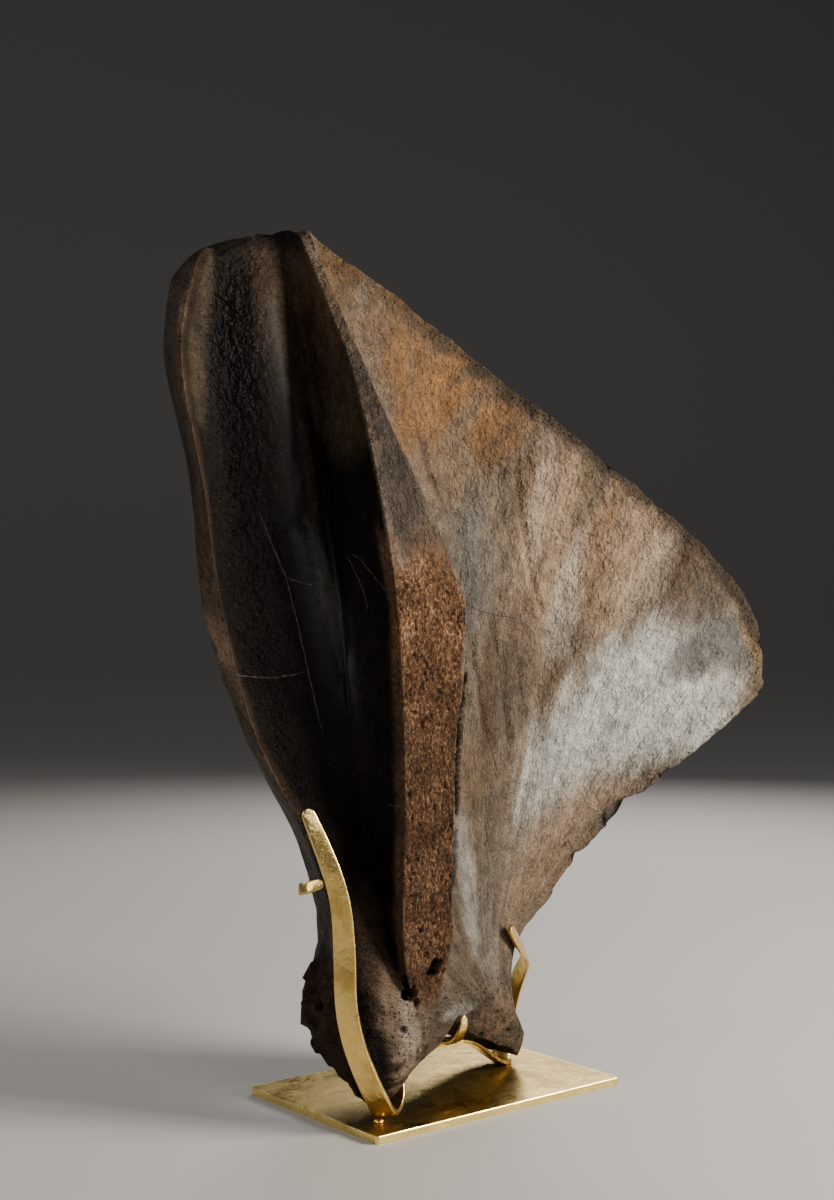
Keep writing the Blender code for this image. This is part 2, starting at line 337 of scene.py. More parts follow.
# bone
bone = {
    "creaseFrom": 38,  # degrees between faces
    "crease": 0.72,
    "rounds": 6,
    "innerSize": 8.0 * mm,
    "outerSize": 4.0 * mm,
    "lobeSize": 2.7 * mm,
    "brokenSize": 1.6 * mm,
    "splitFrom": 1.45,  # edges longer than this many sizes are split
    "turnBelow": 0.16,  # radians; edges flatter than this may be turned
    "sizedTop": {"lobe": 0.165, "broken": 0.62},  # heights up to which those sizes hold
    "fineTurn": 0.15,  # turn to the inner side, summed over an edge's ends, where outerSize ends
    "brokenShare": 0.3,  # of the crest's mask, above which brokenSize holds
    "brokenDepth": 10 * mm,
    "softSteps": 70,
    "softness": 0.8,
    "fibreMeeting": (0.03, 0.06),  # x and z of where the fibres run together
    "fibreFan": 0.45,  # metres of pattern to a radian round it
    "wallShare": 0.35,  # how far the front field reaches past the crest on its wall
    "crestSoft": 0.06,  # share of the crest's width over which it fades
    "rimWide": 6 * mm,
    "patchDepth": 60 * mm,  # how far through the bone a patch of colour reaches
    "leastSheen": 0.05,
}
# Spans over which one part of the bone gives way to the next: shares of the crest's width,
# depths behind a face, places along x, heights, or the turn to the inner side.
spans = {
    "fossaShare": (-0.06, 0.03),
    "fieldShare": (-0.2, 0.0),
    "softShare": (-0.35, -0.05),
    "wallDepth": (3 * mm, 12 * mm),
    "crestDepth": (12 * mm, 24 * mm),
    "rimDepth": (-2 * mm, 4 * mm),
    "lip": (5 * mm, 13 * mm),
    "besideRim": (12 * mm, 32 * mm),
    "dullRim": (35 * mm, 75 * mm),
    "topBorder": (-20 * mm, -5 * mm),
    "rearBorder": (-8 * mm, -2 * mm),
    "darkBorder": (-25 * mm, -6 * mm),
    "darkBorderX": (-0.10, 0.06),
    "rearBorderX": (0.13, 0.15),
    "cornerX": (0.380, 0.398),
    "knobX": (-0.160, -0.140),
    "knobTop": (0.14, 0.17),
    "lobesTop": (0.10, 0.15),
    "brokenFoot": (0.10, 0.14),
    "brokenTop": (0.52, 0.60),
    "bladeFoot": (0.12, 0.2),
    "lipFoot": (0.14, 0.2),
    "softFoot": (0.16, 0.2),
    "tornRim": (0.66, 0.74),
    "outerTurn": (0.30, 0.70),
    "patch": (0.25, 1.35),
}
even = (1, 1, 1)
# Random patterns: what they run along, stretch, size in mm, seed, octaves.
patterns = {
    "streak": ("fibre", (1, 0.16, 0.3), 14, 5, 3),
    "broad": ("place", even, 90, 9, 3),
    "patchy": ("fibre", (1, 0.3, 0.3), 60, 13, 4),
    "darkEdge": ("place", even, 12, 17, 3),
    "brokenEnd": ("place", even, 24, 2, 2),
    "uneven": ("place", even, 11, 21, 2),
    "waves": ("fibre", (1, 0.22, 0.4), 20, 31, 2),
    "leather": ("fibre", (1, 0.45, 0.6), 11, 33, 2),
    "swells": ("fibre", (1, 0.3, 0.4), 42, 30, 2),
    "fieldWaves": ("fibre", (1, 0.5, 0.5), 9, 35, 2),
    "brokenLumps": ("place", even, 24, 43, 2),
    "brokenGrain": ("place", (1, 1, 0.6), 3.6, 45, 2),
    "crestLumps": ("place", even, 10, 47, 3),
    "lobeGrain": ("place", (1, 1, 0.25), 6, 53, 2),
    "knobLumps": ("place", even, 15, 55, 3),
    "wear": ("place", even, 11, 57, 3),
    "hollowEdge": ("place", even, 7, 61, 2),
    "cleftEdge": ("place", even, 6, 63, 1),
}
# Scattered pits: stretch, size in mm, seed, share that is kept.
pitPatterns = {
    "grain": ((1, 1, 0.7), 5.2, 41, 1.0),
    "pits": (even, 11, 51, 0.5),
    "chips": (even, 7, 59, 0.6),
}
# Heights and depths of the relief in mm.
relief = {
    "brokenEnd": 30,
    "uneven": 0.3,
    "swells": 2.4,
    "waves": 1.6,
    "leather": 0.45,
    "innerSwells": 1.8,
    "innerWaves": 1.0,
    "fieldWaves": 0.4,
    "brokenLumps": 1.5,
    "grain": 1.7,
    "brokenGrain": 1.0,
    "crestLumps": 0.5,
    "lobePits": 2.0,
    "lobeGrain": 0.8,
    "knobLumps": 4.6,
    "knobPits": 2.5,
    "wear": 1.0,
    "chips": 1.4,
    "tornRim": 2.2,  # times the wear, added on the upper front rim
}
# The spine's broad outer face: height, x of its front edge, x of its rear edge, y of the face.
crestRows = (
    (0.100, -0.090, -0.070, -0.083),
    (0.172, -0.110, -0.053, -0.085),
    (0.270, -0.122, -0.065, -0.101),
    (0.377, -0.127, -0.070, -0.110),
    (0.522, -0.141, -0.061, -0.115),
    (0.640, -0.155, -0.115, -0.102),
    (0.755, -0.170, -0.158, -0.077),
    (0.886, -0.196, -0.188, -0.027),
)
# The front rim of the blade: height, x and y of its outer corner.
rimRows = (
    (0.120, -0.165, -0.035),
    (0.180, -0.158, -0.035),
    (0.280, -0.190, -0.035),
    (0.390, -0.251, -0.030),
    (0.524, -0.292, -0.030),
    (0.632, -0.307, -0.025),
    (0.760, -0.330, -0.020),
    (0.856, -0.309, -0.020),
)
# Heights of the top border and of the rear border against x.
topLine = ((-0.31, 0.850), (-0.27, 0.874), (-0.20, 0.888), (-0.05, 0.841), (0.07, 0.775),
           (0.20, 0.696), (0.35, 0.579), (0.41, 0.480))
rearLine = ((0.13, 0.140), (0.153, 0.188), (0.172, 0.233), (0.213, 0.273), (0.267, 0.322),
            (0.338, 0.374), (0.403, 0.419))
palette = {
    # near black: partly the dark patina of the front field, partly painted shade
    "darkPatinaAndShade": (0.0030, 0.0020, 0.0015),
    "mahogany": (0.042, 0.018, 0.010),
    "olive": (0.070, 0.052, 0.033),
    "drab": (0.085, 0.057, 0.036),
    "umber": (0.090, 0.052, 0.030),
    "redBrown": (0.200, 0.110, 0.065),
    "rust": (0.225, 0.105, 0.034),
    "sand": (0.150, 0.086, 0.040),
    "pinkTan": (0.320, 0.215, 0.140),
    "ash": (0.170, 0.124, 0.085),
    "slate": (0.105, 0.096, 0.084),
    # a chalky white, partly the bone's pale streaks and partly painted sheen
    "chalkAndSheen": (0.500, 0.430, 0.355),
    # a pale grey-white painted sheen and highlight
    "paintedSheen": (0.540, 0.540, 0.495),
    "ochre": (0.220, 0.150, 0.070),
    "rimTan": (0.640, 0.440, 0.290),
    "edgeBrown": (0.060, 0.045, 0.032),
    "lipBrown": (0.034, 0.021, 0.014),
    "peat": (0.042, 0.031, 0.023),
    "wet": (0.020, 0.015, 0.013),
}
# Patches of colour: name, place, half length and half width in mm, degrees by which the long
# way tilts to the right, strength.
patches = (
    ("olive", (198, 300), (120, 20), -4, 0.9), ("olive", (192, 430), (110, 9), -6, 0.7),
    ("umber", (265, 245), (18, 60), 0, 0.2), ("mahogany", (210, 580), (110, 9), -10, 0.7),
    ("umber", (285, 330), (90, 40), -12, 0.40), ("wet", (296, 470), (120, 28), -12, 0.8),
    # the slate at (324, 595) is lightened as a painted highlight on the lower swelling
    ("drab", (304, 470), (90, 9), -14, 0.4), ("slate", (324, 595), (80, 18), -14, 1.0),
    ("drab", (343, 380), (110, 18), -16, 0.7), ("umber", (318, 300), (70, 18), -20, 0.9),
    # the near-black streak at (231, 430) is a painted shadow edge in the front field
    ("darkPatinaAndShade", (231, 430), (140, 9), -8, 0.9), ("mahogany", (280, 860), (70, 20), -20, 0.4),
    ("umber", (375, 950), (80, 30), 0, 0.6), ("drab", (330, 300), (60, 14), -20, 0.9),
    ("peat", (376, 400), (90, 18), -14, 0.8), ("peat", (408, 505), (80, 34), -8, 0.85),
    ("umber", (436, 545), (36, 30), 0, 0.9), ("sand", (338, 272), (80, 44), 40, 0.9),
    ("drab", (372, 300), (60, 12), 10, 0.6), ("umber", (392, 310), (70, 34), 30, 0.9),
    ("sand", (385, 310), (70, 40), 30, 0.7), ("rust", (408, 355), (80, 38), 40, 0.8),
    ("rust", (438, 392), (110, 56), 45, 1.0), ("rust", (492, 430), (80, 44), 50, 0.8),
    ("sand", (455, 462), (60, 60), 20, 0.6), ("drab", (478, 362), (80, 9), 50, 0.8),
    ("drab", (556, 420), (110, 10), 50, 0.5), ("drab", (640, 492), (90, 15), 46, 0.9),
    ("umber", (690, 548), (70, 22), 42, 0.9), ("slate", (468, 545), (120, 36), 2, 0.7),
    ("pinkTan", (545, 530), (140, 50), 12, 1.0), ("pinkTan", (628, 540), (120, 60), 25, 1.0),
    # the chalky patches are partly pale streaks of the bone and partly painted sheen
    ("chalkAndSheen", (540, 500), (90, 20), 10, 0.32), ("chalkAndSheen", (650, 570), (70, 26), 30, 0.26),
    ("chalkAndSheen", (566, 600), (90, 20), 14, 0.5), ("rust", (602, 545), (90, 20), 14, 0.38),
    ("umber", (488, 690), (90, 14), 8, 0.9), ("umber", (512, 640), (80, 8), 8, 0.6),
    # the pale grey-white patches at (628, 700), (590, 745), (708, 712), (468, 880) and (460, 1012)
    # are painted sheen and highlights
    ("drab", (520, 650), (80, 28), 10, 0.6), ("paintedSheen", (628, 700), (190, 70), 58, 1.0),
    ("paintedSheen", (590, 745), (130, 55), 50, 0.9), ("drab", (706, 592), (80, 38), 50, 0.85),
    ("paintedSheen", (708, 712), (90, 32), 48, 0.7), ("slate", (712, 645), (90, 26), 62, 0.95),
    # the chalky patch at (560, 790) and the pink-tan one at (560, 840) lighten the lower blade as
    # painted sheen from the right
    ("slate", (742, 655), (36, 22), 50, 0.8), ("chalkAndSheen", (560, 790), (130, 40), 48, 0.25),
    ("pinkTan", (560, 840), (140, 46), 42, 0.8), ("ochre", (752, 640), (80, 12), -20, 0.8),
    ("slate", (610, 820), (26, 14), 40, 0.8), ("paintedSheen", (468, 880), (100, 16), 0, 0.38),
    ("slate", (490, 915), (50, 16), 14, 0.4), ("chalkAndSheen", (492, 955), (50, 20), 10, 0.3),
    ("pinkTan", (500, 1015), (34, 36), 0, 0.75), ("paintedSheen", (460, 1012), (10, 34), 0, 0.5),
    ("pinkTan", (398, 1010), (50, 24), 0, 0.7), ("pinkTan", (412, 1050), (50, 26), 10, 0.9),
    ("chalkAndSheen", (410, 1040), (44, 16), 0, 0.4), ("drab", (325, 1030), (70, 30), 0, 0.9),
)
# Long swellings of the front hollow: places along each, half width and height in mm.
swellings = (
    (((262, 300), (280, 380), (298, 470)), 52, 9),
    (((302, 540), (322, 625), (344, 710), (364, 780)), 36, 9),
)
# Sheen on the smoother bone: place, half length and half width in mm, tilt, strength.
sheens = (
    ((640, 690), (190, 75), 58, 0.45),
    ((478, 560), (90, 26), 4, 0.14),
    ((545, 830), (120, 46), 45, 0.18),
    ((466, 890), (90, 14), 0, 0.30),
    ((460, 1010), (14, 36), 0, 0.45),
    ((284, 420), (120, 36), -10, 0.16),
    ((322, 590), (120, 30), -14, 0.85),
)
# Hollows broken into the bone: place, radius and depth in mm.
hollows = (
    ((437, 963), 6.5, 13), ((432, 972), 6.5, 12), ((408, 992), 9, 15), ((404, 979), 6, 10),
    ((421, 931), 3.5, 5), ((417, 1003), 5, 5), ((318, 1007), 8, 9), ((311, 1040), 6, 6),
    ((497, 1012), 4, 4), ((508, 1030), 4, 4), ((481, 1034), 4, 4), ((491, 1046), 5, 4),
    ((404, 1030), 5, 4), ((418, 1052), 4, 3),
)
# Pieces broken out of the thin borders: place of each one's middle, radius in mm.
bites = (
    ((648, 820), 29), ((604, 862), 11), ((572, 890), 9), ((547, 920), 8), ((676, 775), 8),
    ((199, 640), 9), ((219, 693), 8), ((232, 735), 8), ((262, 793), 9), ((294, 1012), 14),
    ((296, 1036), 9), ((306, 1066), 9), ((324, 1090), 9), ((292, 966), 11),
)
biteEdge = {
    "ragged": 0.22,  # share of the radius
    "size": 0.45,  # of the ragged pattern, as a share of the radius
    "seed": 67,
    "through": 50 * mm,  # how far through the bone a bite reaches
}
# Clefts and creases: places along each, half width and depth in mm, darkness of their painted
# shade.
clefts = (
    (((465, 676), (463, 700), (459, 740), (457, 775), (457, 812)), 3.4, 7, 1.0),
    (((456, 832), (455, 860), (453, 890)), 2.2, 3, 0.7),
    (((516, 462), (521, 520), (530, 575), (541, 612)), 5.0, 2.2, 0.20),
    (((500, 470), (503, 520), (512, 560)), 4.0, 1.2, 0.15),
    (((470, 640), (478, 690), (486, 740)), 4.5, 2.2, 0.18),
    (((492, 625), (500, 680), (508, 745)), 4.5, 1.8, 0.18),
    (((512, 640), (520, 690), (528, 730)), 4.0, 1.5, 0.12),
    (((560, 560), (566, 620), (572, 655)), 4.0, 1.4, 0.15),
    (((585, 470), (592, 520), (600, 570)), 4.0, 1.2, 0.10),
    (((655, 662), (640, 690), (612, 725)), 3.5, 1.2, 0.20),
    (((418, 430), (430, 475), (446, 510)), 4.0, 1.6, 0.30),
    (((480, 950), (492, 925), (500, 895), (505, 860)), 4.0, 1.2, 0.20),
    (((470, 975), (486, 952), (496, 930)), 3.5, 1.2, 0.25),
)
# Raggedness and slope in shares of a hollow's radius or a cleft's half width.
denting = {
    "hollowRagged": 0.30,
    "hollowSlope": (0.4, 1.0),
    "cleftRagged": 0.35,
    "cleftSlope": (0.2, 1.2),
    "darkDepth": 8,  # mm from which a hollow's painted shade is full
}

joining = {"gap": 0.02 * mm, "turn": 0.9, "shape": 3.1}  # angles in radians


def over(value, span):
    return fade(value, *spans[span])


def joinedSolid(name):
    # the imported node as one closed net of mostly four-sided faces
    net = bmesh.new()
    net.from_mesh(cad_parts[name].data)
    bmesh.ops.remove_doubles(net, verts=net.verts, dist=joining["gap"])
    bmesh.ops.join_triangles(net, faces=net.faces, angle_face_threshold=joining["turn"],
                             angle_shape_threshold=joining["shape"])
    return net


def creaseEdges(net, degrees, amount):
    layer = net.edges.layers.float.new("crease_edge")
    for edge in net.edges:
        if len(edge.link_faces) == 2 and edge.calc_face_angle() > math.radians(degrees):
            edge[layer] = amount


def meshOf(holder):
    # the holder's mesh as its modifiers leave it
    view = holder.evaluated_get(bpy.context.evaluated_depsgraph_get())
    return bpy.data.meshes.new_from_object(view)


def settled(name, net, levels):
    # the net smoothed by subdivision, as a mesh
    data = bpy.data.meshes.new(name)
    net.to_mesh(data)
    draft = linked(name, data)
    smooth = draft.modifiers.new("smooth", "SUBSURF")
    smooth.levels = levels
    smooth.render_levels = levels
    result = meshOf(draft)
    bpy.data.objects.remove(draft)
    return result


def pointsOf(mesh, what="co"):
    values = np.empty(len(mesh.vertices) * 3)
    mesh.vertices.foreach_get(what, values)
    return values.reshape(-1, 3)


def atHeight(points, rows):
    heights, *columns = np.array(rows).T
    return [np.interp(points[:, 2], heights, column) for column in columns]


def crestShare(points):
    # 0 at the crest's front edge and 1 at its rear edge
    front, rear, _ = atHeight(points, crestRows)
    return (points[:, 0] - front) / (rear - front)


def behindCrest(points):
    return points[:, 1] - atHeight(points, crestRows)[2]


def fossaMask(points):
    # the front field with the spine's wall, which stands behind the crest's front edge
    share = crestShare(points) - bone["wallShare"] * over(behindCrest(points), "wallDepth")
    return 1 - over(share, "fossaShare")


def crestMask(points, soft):
    share = crestShare(points)
    width = bone["crestSoft"] * soft
    inside = fade(share, -width, width) * (1 - fade(share, 1 - width, 1 + width))
    return inside * (1 - over(behindCrest(points), "crestDepth"))


def rimMask(points):
    # the narrow face of the front rim
    x, y = atHeight(points, rimRows)
    wide = bone["rimWide"]
    face = fade(x + wide - points[:, 0], 0, wide) * over(points[:, 1] - y, "rimDepth")
    return face * over(points[:, 2], "bladeFoot")


def lipMask(points):
    # the sharp line where the front rim turns to the outer side
    x, _ = atHeight(points, rimRows)
    return 1 - over(np.abs(points[:, 0] - x - bone["rimWide"]), "lip")


def aboveLine(points, line):
    return points[:, 2] - np.interp(points[:, 0], *np.array(line).T)


def borderMask(points):
    # the worn top and rear borders
    x = points[:, 0]
    top = over(aboveLine(points, topLine), "topBorder")
    rear = over(x, "rearBorderX") * over(-aboveLine(points, rearLine), "rearBorder")
    return np.clip(top + rear + over(x, "cornerX"), 0, 1)


def outerMask(normals):
    return 1 - over(normals[:, 1], "outerTurn")


def targetSizes(points, normals):
    size = np.where(normals[:, 1] < bone["fineTurn"], bone["outerSize"], bone["innerSize"])
    lobe = (points[:, 2] < bone["sizedTop"]["lobe"]) & (normals[:, 1] < 0)
    size = np.where(lobe, bone["lobeSize"], size)
    broken = crestMask(points, 2) > bone["brokenShare"]
    broken &= points[:, 2] < bone["sizedTop"]["broken"]
    broken &= behindCrest(points) < bone["brokenDepth"]
    return np.where(broken, bone["brokenSize"], size)


def edgeEnds(mesh):
    ends = np.empty(len(mesh.edges) * 2, dtype=np.int64)
    mesh.edges.foreach_get("vertices", ends)
    return ends.reshape(-1, 2).T


def refined(start, reference):
    # splits edges to suit their detail, then sets each point on the smooth form
    mesh = bpy.data.meshes.new("fossilShoulderBlade")
    net = bmesh.new()
    net.from_mesh(start)
    bmesh.ops.triangulate(net, faces=net.faces)
    for _ in range(bone["rounds"]):
        net.to_mesh(mesh)
        points = pointsOf(mesh)
        normals = pointsOf(mesh, "normal")
        first, second = edgeEnds(mesh)
        lengths = np.linalg.norm(points[first] - points[second], axis=1)
        middles = (points[first] + points[second]) / 2
        sizes = targetSizes(middles, normals[first] + normals[second])
        chosen = np.nonzero(lengths > bone["splitFrom"] * sizes)[0]
        if len(chosen) == 0:
            break
        net.edges.ensure_lookup_table()
        bmesh.ops.subdivide_edges(net, edges=[net.edges[i] for i in chosen], cuts=1)
        bmesh.ops.triangulate(net, faces=[face for face in net.faces if len(face.verts) > 3])
    net.normal_update()
    flat = [edge for edge in net.edges if edge.calc_face_angle(0) < bone["turnBelow"]]
    bmesh.ops.beautify_fill(net, faces=net.faces, edges=flat)
    for vert in net.verts:
        vert.co = reference.find_nearest(vert.co)[0]
    net.to_mesh(mesh)
    net.free()
    return mesh


def relaxed(mesh, points, weights, steps):
    # evens out the surface where the weights are above 0
    first, second = edgeEnds(mesh)
    count = np.bincount(np.concatenate((first, second)), minlength=len(points))[:, None]
    for _ in range(steps):
        total = np.stack([np.bincount(first, points[second, axis], len(points))
                          + np.bincount(second, points[first, axis], len(points))
                          for axis in range(3)], axis=1)
        points = points + weights[:, None] * (total / count - points)
    return points


def touchBone(surface, place, beside=False):
    # the bone's point seen at a place; a place just off it is taken to the nearest point,
    # or with beside set stays as far in front of the camera as that point
    sight = sightLine(*place)
    hit = surface.ray_cast(eye, sight)[0]
    if hit is None:
        hit = surface.find_nearest(eye + sight * camera["away"])[0]
    if beside:
        hit = eye + sight * (hit - eye).dot(sight)
    return np.array(hit)


def patchWeight(points, centre, half, tilt):
    angle = math.radians(tilt)
    along = np.array((math.sin(angle), 0, math.cos(angle)))
    across = np.array((math.cos(angle), 0, -math.sin(angle)))
    offset = points - centre
    reach = ((offset @ along) / (half[0] * mm)) ** 2 + ((offset @ across) / (half[1] * mm)) ** 2
    reach = np.sqrt(reach + (offset[:, 1] / bone["patchDepth"]) ** 2)
    return 1 - over(reach, "patch")


def sheenOf(points, surface):
    total = np.full(len(points), bone["leastSheen"])
    for place, half, tilt, strength in sheens:
        total += strength * patchWeight(points, touchBone(surface, place), half, tilt)
    return total


def fibres(points):
    # fan coordinates: round the meeting point, away from it, and through the bone
    x, z = bone["fibreMeeting"]
    away = np.hypot(points[:, 0] - x, points[:, 2] - z)
    around = np.arctan2(points[:, 0] - x, points[:, 2] - z) * bone["fibreFan"]
    return np.stack([around, away, points[:, 1]], axis=1)


def pattern(points, name):
    along, stretch, size, seed, octaves = patterns[name]
    base = fibres(points) if along == "fibre" else points
    return softNoise(base * stretch, size * mm, seed, octaves)


def pitPattern(points, name):
    stretch, size, seed, kept = pitPatterns[name]
    return pitNoise(points * stretch, size * mm, seed, kept)


def paintBone(points, normals, surface, masks):
    inner = 1 - outerMask(normals)
    fossa = fossaMask(points) * (1 - inner)
    colour = np.tile(np.array(palette["ash"]), (len(points), 1))
    streak, broad, patchy = (pattern(points, name) for name in ("streak", "broad", "patchy"))

    def lay(weight, name):
        nonlocal colour
        colour = colour * (1 - weight[:, None]) + np.array(palette[name]) * weight[:, None]

    # ground of the whole bone, and its inner side
    lay(fade(broad, -0.2, 0.9) * 0.5, "sand")
    lay(fade(streak, 0.1, 1.0) * 0.3, "slate")
    lay(fade(-broad, 0.1, 0.9) * inner * 0.5, "redBrown")
    lay((0.35 + 0.5 * fade(patchy, -0.3, 0.9)) * inner, "pinkTan")
    lay(fade(-patchy, 0.2, 1.1) * inner * 0.5, "umber")
    # the front field and the spine's wall go near black, partly their own dark patina and partly
    # painted shadow of the spine
    lay(fossa * 0.97, "darkPatinaAndShade")
    # patches, each on its own side of the spine's front edge
    for name, place, half, tilt, strength in patches:
        centre = touchBone(surface, place)
        weight = patchWeight(points, centre, half, tilt)
        uneven = (0.30 * streak + 0.22 * patchy) * fade(weight, 0, 0.3)
        weight = fade(weight + uneven, 0.04, 1.0) * strength
        side = fossa if fossaMask(centre[None])[0] > 0.5 else 1 - fossa - inner
        lay(weight * np.clip(side, 0, 1), name)
    # borders, front rim and broken places
    ragged = 7 * mm * broad + 9 * mm * pattern(points, "darkEdge")
    edge = over(aboveLine(points, topLine) + ragged, "darkBorder")
    edge = edge * over(points[:, 0], "darkBorderX")
    lay(edge * (1 - inner) * 0.85, "edgeBrown")
    lay(masks["rim"] * 0.9, "rimTan")
    lay(masks["rim"] * fade(streak, 0.0, 0.8) * 0.5, "redBrown")
    lay(lipMask(points) * 0.9 * over(points[:, 2], "lipFoot"), "lipBrown")
    lay(masks["knob"] * 0.5, "mahogany")
    lay(masks["spongy"] * 0.9, "redBrown")
    # painted shade in the hollows and clefts, darker where they are deeper
    lay(masks["hollow"], "darkPatinaAndShade")
    return colour


def fromLine(points, path):
    # distance of every point from a line of places
    nearest = np.full(len(points), 1.0)
    for start, end in zip(path, path[1:]):
        run = end - start
        share = np.clip(((points - start) @ run) / (run @ run), 0, 1)
        nearest = np.minimum(nearest, np.linalg.norm(points - start - share[:, None] * run, axis=1))
    return nearest


def dented(points, surface, shift):
    # sinks the hollows and clefts into the shift, and gives the painted shade of each point in them
    dark = np.zeros(len(points))
    edge = pattern(points, "hollowEdge")
    for place, radius, depth in hollows:
        reach = np.linalg.norm(points - touchBone(surface, place), axis=1) / (radius * mm)
        dent = 1 - fade(reach + denting["hollowRagged"] * edge, *denting["hollowSlope"])
        shift -= dent * depth * mm
        dark = np.maximum(dark, dent * min(1.0, depth / denting["darkDepth"]))
    edge = pattern(points, "cleftEdge")
    for path, half, depth, darkness in clefts:
        reach = fromLine(points, [touchBone(surface, place) for place in path]) / (half * mm)
        dent = 1 - fade(reach + denting["cleftRagged"] * edge, *denting["cleftSlope"])
        shift -= dent * depth * mm
        dark = np.maximum(dark, dent * darkness)
    return dark


def shapeBone(points, normals, surface):
    # moves the points into the bone's wear and breaks, and gives the masks its finish reads
    share = crestShare(points)
    height = points[:, 2]
    outer = outerMask(normals)
    crest = crestMask(points, 1)

    def raised(name, amount=None):
        return relief[amount or name] * mm * pattern(points, name)

    spongy = crest * (1 - over(height + raised("brokenEnd"), "brokenTop"))
    spongy = spongy * over(height, "brokenFoot")
    lobes = outer * (1 - over(height, "lobesTop"))
    knob = (1 - over(points[:, 0], "knobX")) * (1 - over(height, "knobTop"))
    fossa = outer * (1 - over(share, "fieldShare")) * (1 - crest)
    blade = outer * (1 - crest) * (1 - fossa) * over(height, "bladeFoot")
    rim = rimMask(points)
    worn = np.clip(borderMask(points) + rim, 0, 1)

    # fields of the outer and inner side
    leather = 1 - 2 * np.abs(pattern(points, "leather"))
    shift = raised("uneven")
    shift += blade * (raised("swells") + raised("waves") + relief["leather"] * mm * leather)
    shift += (1 - outer) * (raised("swells", "innerSwells") + raised("waves", "innerWaves"))
    shift += fossa * raised("fieldWaves")
    # broken face of the spine
    grain = pitPattern(points, "grain")
    shift += spongy * (raised("brokenLumps") - relief["grain"] * mm * grain)
    shift += spongy * raised("brokenGrain")
    shift += crest * (1 - spongy) * raised("crestLumps")
    # joint end
    pits = pitPattern(points, "pits")
    shift -= lobes * (1 - spongy) * relief["lobePits"] * mm * pits
    shift += lobes * raised("lobeGrain")
    shift += knob * (raised("knobLumps") - relief["knobPits"] * mm * pits)
    # worn borders
    torn = 1.0 + relief["tornRim"] * rim * over(height, "tornRim")
    shift += worn * torn * (raised("wear") - relief["chips"] * mm * pitPattern(points, "chips"))
    for path, half, proud in swellings:
        line = [touchBone(surface, place) for place in path]
        shift += proud * mm * (1 - fade(fromLine(points, line) / (half * mm), 0, 1)) * fossa
    dark = dented(points, surface, shift)
    nearRim = 1 - over(points[:, 0] - atHeight(points, rimRows)[0], "dullRim")
    masks = {
        "spongy": spongy,
        # the painted shade of the hollows and clefts
        "hollow": fade(dark, 0.15, 0.8),
        "gloss": fossa,
        "sheen": sheenOf(points, surface) * outer * (1 - nearRim),
        "grain": np.clip(grain * spongy + pits * lobes * 0.8 + dark, 0, 1),
        "rough": np.clip(worn + knob + 0.7 * lobes, 0, 1) * (1 - spongy),
        "rim": rim,
        "knob": knob,
    }
    return points + normals * shift[:, None], masks


def bitten(points, surface):
    # every point inside a bite moves out to its edge
    points = points.copy()
    for place, radius in bites:
        centre = touchBone(surface, place, True)
        offset = points - centre
        offset[:, 1] = 0
        distance = np.linalg.norm(offset, axis=1)
        edge = softNoise(points * (1, 0, 1), biteEdge["size"] * radius * mm, biteEdge["seed"], 2)
        reach = radius * mm * (1 + biteEdge["ragged"] * edge)
        inside = (distance < reach) & (np.abs(points[:, 1] - centre[1]) < biteEdge["through"])
        points[inside] += (offset * (reach / np.maximum(distance, mm) - 1)[:, None])[inside]
    return points


def addAttribute(mesh, name, kind, values):
    layer = mesh.attributes.new(name, kind, "POINT")
    field = {"FLOAT": "value", "FLOAT_VECTOR": "vector", "FLOAT_COLOR": "color"}[kind]
    layer.data.foreach_set(field, np.ascontiguousarray(values, dtype=np.float32).ravel())


boneMasks = ("spongy", "sheen", "grain", "rough", "gloss")  # read by the finish
# Patterns of the bone's finish: what they run along, stretch, size in mm, detail, roughness, warp.
bonePatterns = {
    "streaks": ("fibre", (1, 0.12, 0.3), 5, 4, 0.62, 0.4),
    "mottle": ("place", even, 15, 5, 0.68, 0),
    "speckle": ("place", even, 1.9, 3, 0.7, 0),
    "folds": ("fibre", (1, 0.42, 0.6), 16, 3, 0.6, 0.5),
    "skin": ("fibre", (1, 0.6, 0.8), 8, 4, 0.62, 0.2),
    "flakes": ("fibre", (1, 0.55, 0.7), 3.6, 2, 0.6, 0),
    "cloud": ("fibre", (1, 0.35, 0.5), 34, 4, 0.6, 0.4),
    "pitted": ("place", even, 26, 2, 0.55, 0),
    "crumbs": ("place", (1, 1, 0.6), 2.4, 4, 0.72, 0),
    "crumbClouds": ("place", even, 34, 3, 0.6, 0),
}
boneLook = {
    "specular": 0.09,
    "coatRoughness": 0.46,
    # shares of light and dark that each pattern brings
    "shade": {"ground": 0.32, "mottle": 0.44, "streaks": 0.32, "speckle": 0.60, "flakes": 0.18,
              "cloud": 0.30, "folds": 0.05, "skin": 0.32, "least": 0.16, "gain": 1.20},
    # pits, pores and grain are darkened as painted shade in those hollows
    "darkening": {"pits": 0.70, "pores": 0.45, "grain": 0.8},
    "pitSize": 5.5 * mm,
    "poreSize": 2.8 * mm,
    "brokenStops": (  # from its pores, darkened as painted shade, to its crumbs
        (0.30, (0.010, 0.006, 0.004, 1)), (0.43, (0.050, 0.024, 0.012, 1)),
        (0.56, (0.115, 0.058, 0.029, 1)), (0.72, (0.36, 0.21, 0.115, 1))),
    "brokenPit": (0.006, 0.004, 0.003, 1),
    "brokenLight": (0.95, 0.8),  # low down, and added above brokenHeights
    "brokenHeights": (0.38, 0.50),
    "roughness": {"ground": 0.58, "spongy": 0.25, "rough": 0.15, "mottle": 0.25, "sheen": 0.4,
                  "gloss": 0.2},
    "bumps": {"folds": 0.6, "skin": 10.0, "flakes": 2.0, "speckle": 1.7, "crumbs": 4.5,
              "pits": 1.6, "pores": 0.5},  # mm
}


